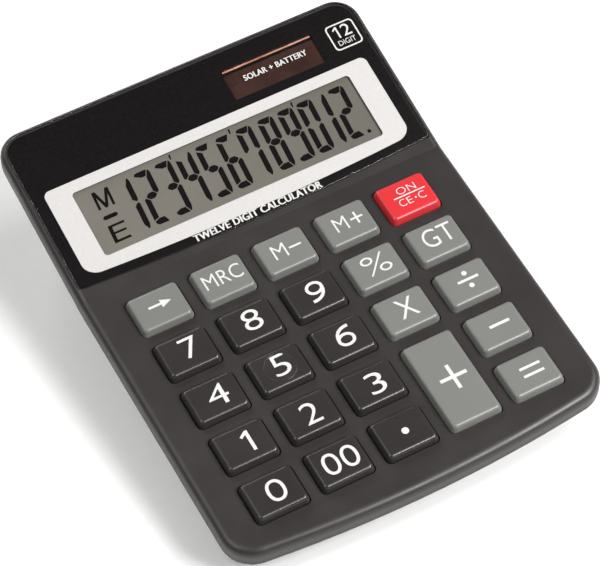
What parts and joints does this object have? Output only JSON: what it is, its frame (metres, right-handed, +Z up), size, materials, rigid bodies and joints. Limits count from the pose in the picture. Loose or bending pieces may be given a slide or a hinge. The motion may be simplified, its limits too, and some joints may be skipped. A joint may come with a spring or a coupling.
{
  "type": "desk calculator",
  "caption": "Compact desk calculator with sliding keys, a raised display panel, a solar window and a battery door in its wedge-shaped base.",
  "frame": {"origin": "bottom centre of the bounding box, on the desk under the middle of the case", "axes": "+Z up, +Y from the keypad towards the display along the length, +X to the right across the keys"},
  "size_m": [0.103, 0.135, 0.0347],
  "materials": {
    "case_plastic": "satin",
    "keycap_black": "semi-gloss",
    "keycap_grey": "semi-gloss",
    "keycap_red": "semi-gloss",
    "lens": "polished",
    "lens_print": "gloss",
    "lcd_film": "satin",
    "display_glass": "polished",
    "lcd_back": "satin",
    "inner_plastic": "matte",
    "ribbon": "satin",
    "screw_steel": "zinc plated",
    "solar": "gloss",
    "membrane_rubber": "matte",
    "carbon_rubber": "matte",
    "board": "satin",
    "epoxy": "gloss",
    "ceramic": "satin",
    "red_insulation": "satin",
    "black_insulation": "satin",
    "cell_steel": "polished",
    "contact_nickel": "nickel",
    "foot_rubber": "matte"
  },
  "bodies": {
    "case": {"top_case": "case_plastic", "bottom_case": "case_plastic", "display_lens": "lens", "lens_mask": "lens_print", "lcd_polariser": "lcd_film", "lcd_front_glass": "display_glass", "lcd_rear_glass": "display_glass", "lcd_reflector": "lcd_back", "lcd_holder": "inner_plastic", "lcd_ribbon": "ribbon", "holder_screws": "screw_steel", "pcb_screws": "screw_steel", "case_screws": "screw_steel", "solar_cell": "solar", "key_membrane": "membrane_rubber", "carbon_pills": "carbon_rubber", "main_pcb": "board", "chip_blob": "epoxy", "capacitors": "ceramic", "wire_red": "red_insulation", "wire_black": "black_insulation", "button_cell": "cell_steel", "contact_negative": "contact_nickel", "rubber_feet": "foot_rubber"},
    "key_arrow": {"key_arrow": "keycap_grey"},
    "key_mrc": {"key_mrc": "keycap_grey"},
    "key_m_minus": {"key_m_minus": "keycap_grey"},
    "key_m_plus": {"key_m_plus": "keycap_grey"},
    "key_on": {"key_on": "keycap_red"},
    "key_7": {"key_7": "keycap_black"},
    "key_8": {"key_8": "keycap_black"},
    "key_9": {"key_9": "keycap_black"},
    "key_percent": {"key_percent": "keycap_grey"},
    "key_gt": {"key_gt": "keycap_grey"},
    "key_4": {"key_4": "keycap_black"},
    "key_5": {"key_5": "keycap_black"},
    "key_6": {"key_6": "keycap_black"},
    "key_times": {"key_times": "keycap_grey"},
    "key_divide": {"key_divide": "keycap_grey"},
    "key_1": {"key_1": "keycap_black"},
    "key_2": {"key_2": "keycap_black"},
    "key_3": {"key_3": "keycap_black"},
    "key_plus": {"key_plus": "keycap_grey"},
    "key_minus": {"key_minus": "keycap_grey"},
    "key_0": {"key_0": "keycap_black"},
    "key_00": {"key_00": "keycap_black"},
    "key_dot": {"key_dot": "keycap_black"},
    "key_equals": {"key_equals": "keycap_grey"},
    "battery_door": {"battery_door": "case_plastic"}
  },
  "joints": [
    {"name": "key_arrow_press", "type": "slide", "parent": "case", "child": "key_arrow", "axis": [0, 0.1045, -0.9945], "range_m": [0, 0.0013], "stiffness_N_per_m": 320, "springref_m": -0.0004, "deforming": ["key_membrane"]},
    {"name": "key_mrc_press", "type": "slide", "parent": "case", "child": "key_mrc", "axis": [0, 0.1045, -0.9945], "range_m": [0, 0.0013], "stiffness_N_per_m": 320, "springref_m": -0.0004, "deforming": ["key_membrane"]},
    {"name": "key_m_minus_press", "type": "slide", "parent": "case", "child": "key_m_minus", "axis": [0, 0.1045, -0.9945], "range_m": [0, 0.0013], "stiffness_N_per_m": 320, "springref_m": -0.0004, "deforming": ["key_membrane"]},
    {"name": "key_m_plus_press", "type": "slide", "parent": "case", "child": "key_m_plus", "axis": [0, 0.1045, -0.9945], "range_m": [0, 0.0013], "stiffness_N_per_m": 320, "springref_m": -0.0004, "deforming": ["key_membrane"]},
    {"name": "key_on_press", "type": "slide", "parent": "case", "child": "key_on", "axis": [0, 0.1045, -0.9945], "range_m": [0, 0.0013], "stiffness_N_per_m": 320, "springref_m": -0.0004, "deforming": ["key_membrane"]},
    {"name": "key_7_press", "type": "slide", "parent": "case", "child": "key_7", "axis": [0, 0.1045, -0.9945], "range_m": [0, 0.0013], "stiffness_N_per_m": 320, "springref_m": -0.0004, "deforming": ["key_membrane"]},
    {"name": "key_8_press", "type": "slide", "parent": "case", "child": "key_8", "axis": [0, 0.1045, -0.9945], "range_m": [0, 0.0013], "stiffness_N_per_m": 320, "springref_m": -0.0004, "deforming": ["key_membrane"]},
    {"name": "key_9_press", "type": "slide", "parent": "case", "child": "key_9", "axis": [0, 0.1045, -0.9945], "range_m": [0, 0.0013], "stiffness_N_per_m": 320, "springref_m": -0.0004, "deforming": ["key_membrane"]},
    {"name": "key_percent_press", "type": "slide", "parent": "case", "child": "key_percent", "axis": [0, 0.1045, -0.9945], "range_m": [0, 0.0013], "stiffness_N_per_m": 320, "springref_m": -0.0004, "deforming": ["key_membrane"]},
    {"name": "key_gt_press", "type": "slide", "parent": "case", "child": "key_gt", "axis": [0, 0.1045, -0.9945], "range_m": [0, 0.0013], "stiffness_N_per_m": 320, "springref_m": -0.0004, "deforming": ["key_membrane"]},
    {"name": "key_4_press", "type": "slide", "parent": "case", "child": "key_4", "axis": [0, 0.1045, -0.9945], "range_m": [0, 0.0013], "stiffness_N_per_m": 320, "springref_m": -0.0004, "deforming": ["key_membrane"]},
    {"name": "key_5_press", "type": "slide", "parent": "case", "child": "key_5", "axis": [0, 0.1045, -0.9945], "range_m": [0, 0.0013], "stiffness_N_per_m": 320, "springref_m": -0.0004, "deforming": ["key_membrane"]},
    {"name": "key_6_press", "type": "slide", "parent": "case", "child": "key_6", "axis": [0, 0.1045, -0.9945], "range_m": [0, 0.0013], "stiffness_N_per_m": 320, "springref_m": -0.0004, "deforming": ["key_membrane"]},
    {"name": "key_times_press", "type": "slide", "parent": "case", "child": "key_times", "axis": [0, 0.1045, -0.9945], "range_m": [0, 0.0013], "stiffness_N_per_m": 320, "springref_m": -0.0004, "deforming": ["key_membrane"]},
    {"name": "key_divide_press", "type": "slide", "parent": "case", "child": "key_divide", "axis": [0, 0.1045, -0.9945], "range_m": [0, 0.0013], "stiffness_N_per_m": 320, "springref_m": -0.0004, "deforming": ["key_membrane"]},
    {"name": "key_1_press", "type": "slide", "parent": "case", "child": "key_1", "axis": [0, 0.1045, -0.9945], "range_m": [0, 0.0013], "stiffness_N_per_m": 320, "springref_m": -0.0004, "deforming": ["key_membrane"]},
    {"name": "key_2_press", "type": "slide", "parent": "case", "child": "key_2", "axis": [0, 0.1045, -0.9945], "range_m": [0, 0.0013], "stiffness_N_per_m": 320, "springref_m": -0.0004, "deforming": ["key_membrane"]},
    {"name": "key_3_press", "type": "slide", "parent": "case", "child": "key_3", "axis": [0, 0.1045, -0.9945], "range_m": [0, 0.0013], "stiffness_N_per_m": 320, "springref_m": -0.0004, "deforming": ["key_membrane"]},
    {"name": "key_plus_press", "type": "slide", "parent": "case", "child": "key_plus", "axis": [0, 0.1045, -0.9945], "range_m": [0, 0.0013], "stiffness_N_per_m": 320, "springref_m": -0.0004, "deforming": ["key_membrane"]},
    {"name": "key_minus_press", "type": "slide", "parent": "case", "child": "key_minus", "axis": [0, 0.1045, -0.9945], "range_m": [0, 0.0013], "stiffness_N_per_m": 320, "springref_m": -0.0004, "deforming": ["key_membrane"]},
    {"name": "key_0_press", "type": "slide", "parent": "case", "child": "key_0", "axis": [0, 0.1045, -0.9945], "range_m": [0, 0.0013], "stiffness_N_per_m": 320, "springref_m": -0.0004, "deforming": ["key_membrane"]},
    {"name": "key_00_press", "type": "slide", "parent": "case", "child": "key_00", "axis": [0, 0.1045, -0.9945], "range_m": [0, 0.0013], "stiffness_N_per_m": 320, "springref_m": -0.0004, "deforming": ["key_membrane"]},
    {"name": "key_dot_press", "type": "slide", "parent": "case", "child": "key_dot", "axis": [0, 0.1045, -0.9945], "range_m": [0, 0.0013], "stiffness_N_per_m": 320, "springref_m": -0.0004, "deforming": ["key_membrane"]},
    {"name": "key_equals_press", "type": "slide", "parent": "case", "child": "key_equals", "axis": [0, 0.1045, -0.9945], "range_m": [0, 0.0013], "stiffness_N_per_m": 320, "springref_m": -0.0004, "deforming": ["key_membrane"]},
    {"name": "battery_door_slide", "type": "slide", "parent": "case", "child": "battery_door", "axis": [0, 1, 0], "range_m": [0, 0.0045]}
  ]
}
